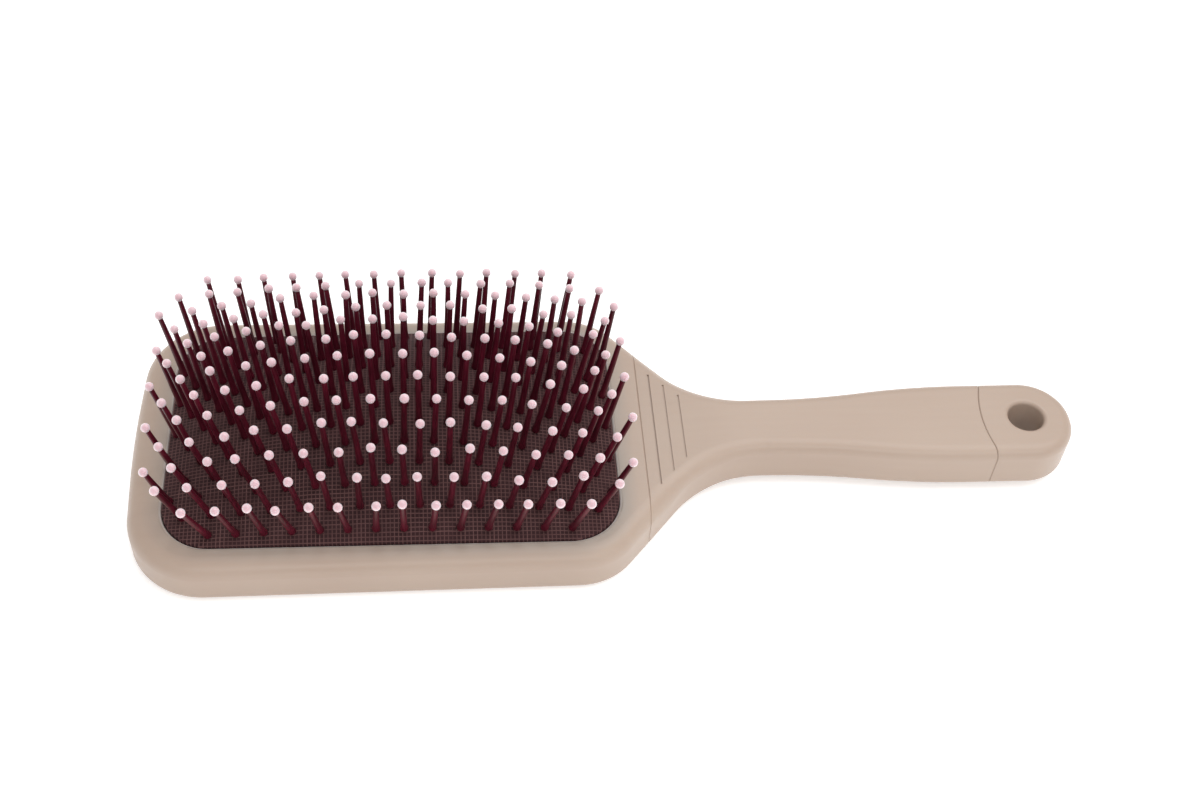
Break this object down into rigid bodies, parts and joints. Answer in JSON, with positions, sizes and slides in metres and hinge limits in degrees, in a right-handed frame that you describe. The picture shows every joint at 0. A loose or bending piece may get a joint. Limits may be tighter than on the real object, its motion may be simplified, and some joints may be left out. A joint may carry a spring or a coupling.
{
  "type": "paddle hairbrush",
  "caption": "Paddle hairbrush with a wide rectangular head, a domed cloth-faced rubber cushion, ball-tipped pins, a flared grooved neck and a handle with a hanging hole.",
  "frame": {"origin": "on the flat back of the head, under the middle of the cushion opening", "axes": "+X along the handle towards its free end, +Z the way the pins point, +Y across the head"},
  "size_m": [0.2467, 0.0852, 0.0453],
  "materials": {
    "greige_plastic": "fine satin grain",
    "cushion_rubber": "matt",
    "facing_cloth": "plain woven, matt",
    "pin_nylon": "glossy nylon",
    "ball_nylon": "glossy nylon"
  },
  "bodies": {
    "brush_body": {"head_shell": "greige_plastic", "back_cover": "greige_plastic", "handle_shell": "greige_plastic", "end_cap": "greige_plastic"},
    "cushion": {"cushion_pad": "cushion_rubber", "pad_cloth": "facing_cloth"},
    "pins_01": {"pin_row_01": "pin_nylon", "tip_row_01": "ball_nylon"},
    "pins_02": {"pin_row_02": "pin_nylon", "tip_row_02": "ball_nylon"},
    "pins_03": {"pin_row_03": "pin_nylon", "tip_row_03": "ball_nylon"},
    "pins_04": {"pin_row_04": "pin_nylon", "tip_row_04": "ball_nylon"},
    "pins_05": {"pin_row_05": "pin_nylon", "tip_row_05": "ball_nylon"},
    "pins_06": {"pin_row_06": "pin_nylon", "tip_row_06": "ball_nylon"},
    "pins_07": {"pin_row_07": "pin_nylon", "tip_row_07": "ball_nylon"},
    "pins_08": {"pin_row_08": "pin_nylon", "tip_row_08": "ball_nylon"},
    "pins_09": {"pin_row_09": "pin_nylon", "tip_row_09": "ball_nylon"},
    "pins_10": {"pin_row_10": "pin_nylon", "tip_row_10": "ball_nylon"},
    "pins_11": {"pin_row_11": "pin_nylon", "tip_row_11": "ball_nylon"},
    "pins_12": {"pin_row_12": "pin_nylon", "tip_row_12": "ball_nylon"},
    "pins_13": {"pin_row_13": "pin_nylon", "tip_row_13": "ball_nylon"}
  },
  "joints": [
    {"name": "cushion_press", "type": "slide", "parent": "brush_body", "child": "cushion", "axis": [0, 0, -1], "range_m": [0, 0.004], "stiffness_N_per_m": 2500, "deforming": ["cushion_pad", "pad_cloth"]},
    {"name": "row_rock_01", "type": "hinge", "parent": "cushion", "child": "pins_01", "pos_m": [0, -0.0321, 0.01435], "axis": [1, 0, 0], "range_deg": [-8, 8], "stiffness_Nm_per_rad": 0.05, "deforming": ["cushion_pad", "pad_cloth"]},
    {"name": "row_rock_02", "type": "hinge", "parent": "cushion", "child": "pins_02", "pos_m": [0, -0.02675, 0.01575], "axis": [1, 0, 0], "range_deg": [-8, 8], "stiffness_Nm_per_rad": 0.05, "deforming": ["cushion_pad", "pad_cloth"]},
    {"name": "row_rock_03", "type": "hinge", "parent": "cushion", "child": "pins_03", "pos_m": [0, -0.0214, 0.01673], "axis": [1, 0, 0], "range_deg": [-8, 8], "stiffness_Nm_per_rad": 0.05, "deforming": ["cushion_pad", "pad_cloth"]},
    {"name": "row_rock_04", "type": "hinge", "parent": "cushion", "child": "pins_04", "pos_m": [0, -0.01605, 0.01831], "axis": [1, 0, 0], "range_deg": [-8, 8], "stiffness_Nm_per_rad": 0.05, "deforming": ["cushion_pad", "pad_cloth"]},
    {"name": "row_rock_05", "type": "hinge", "parent": "cushion", "child": "pins_05", "pos_m": [0, -0.0107, 0.01863], "axis": [1, 0, 0], "range_deg": [-8, 8], "stiffness_Nm_per_rad": 0.05, "deforming": ["cushion_pad", "pad_cloth"]},
    {"name": "row_rock_06", "type": "hinge", "parent": "cushion", "child": "pins_06", "pos_m": [0, -0.00535, 0.01988], "axis": [1, 0, 0], "range_deg": [-8, 8], "stiffness_Nm_per_rad": 0.05, "deforming": ["cushion_pad", "pad_cloth"]},
    {"name": "row_rock_07", "type": "hinge", "parent": "cushion", "child": "pins_07", "pos_m": [0, 0, 0.01948], "axis": [1, 0, 0], "range_deg": [-8, 8], "stiffness_Nm_per_rad": 0.05, "deforming": ["cushion_pad", "pad_cloth"]},
    {"name": "row_rock_08", "type": "hinge", "parent": "cushion", "child": "pins_08", "pos_m": [0, 0.00535, 0.01988], "axis": [1, 0, 0], "range_deg": [-8, 8], "stiffness_Nm_per_rad": 0.05, "deforming": ["cushion_pad", "pad_cloth"]},
    {"name": "row_rock_09", "type": "hinge", "parent": "cushion", "child": "pins_09", "pos_m": [0, 0.0107, 0.01863], "axis": [1, 0, 0], "range_deg": [-8, 8], "stiffness_Nm_per_rad": 0.05, "deforming": ["cushion_pad", "pad_cloth"]},
    {"name": "row_rock_10", "type": "hinge", "parent": "cushion", "child": "pins_10", "pos_m": [0, 0.01605, 0.01831], "axis": [1, 0, 0], "range_deg": [-8, 8], "stiffness_Nm_per_rad": 0.05, "deforming": ["cushion_pad", "pad_cloth"]},
    {"name": "row_rock_11", "type": "hinge", "parent": "cushion", "child": "pins_11", "pos_m": [0, 0.0214, 0.01673], "axis": [1, 0, 0], "range_deg": [-8, 8], "stiffness_Nm_per_rad": 0.05, "deforming": ["cushion_pad", "pad_cloth"]},
    {"name": "row_rock_12", "type": "hinge", "parent": "cushion", "child": "pins_12", "pos_m": [0, 0.02675, 0.01575], "axis": [1, 0, 0], "range_deg": [-8, 8], "stiffness_Nm_per_rad": 0.05, "deforming": ["cushion_pad", "pad_cloth"]},
    {"name": "row_rock_13", "type": "hinge", "parent": "cushion", "child": "pins_13", "pos_m": [0, 0.0321, 0.01435], "axis": [1, 0, 0], "range_deg": [-8, 8], "stiffness_Nm_per_rad": 0.05, "deforming": ["cushion_pad", "pad_cloth"]}
  ]
}
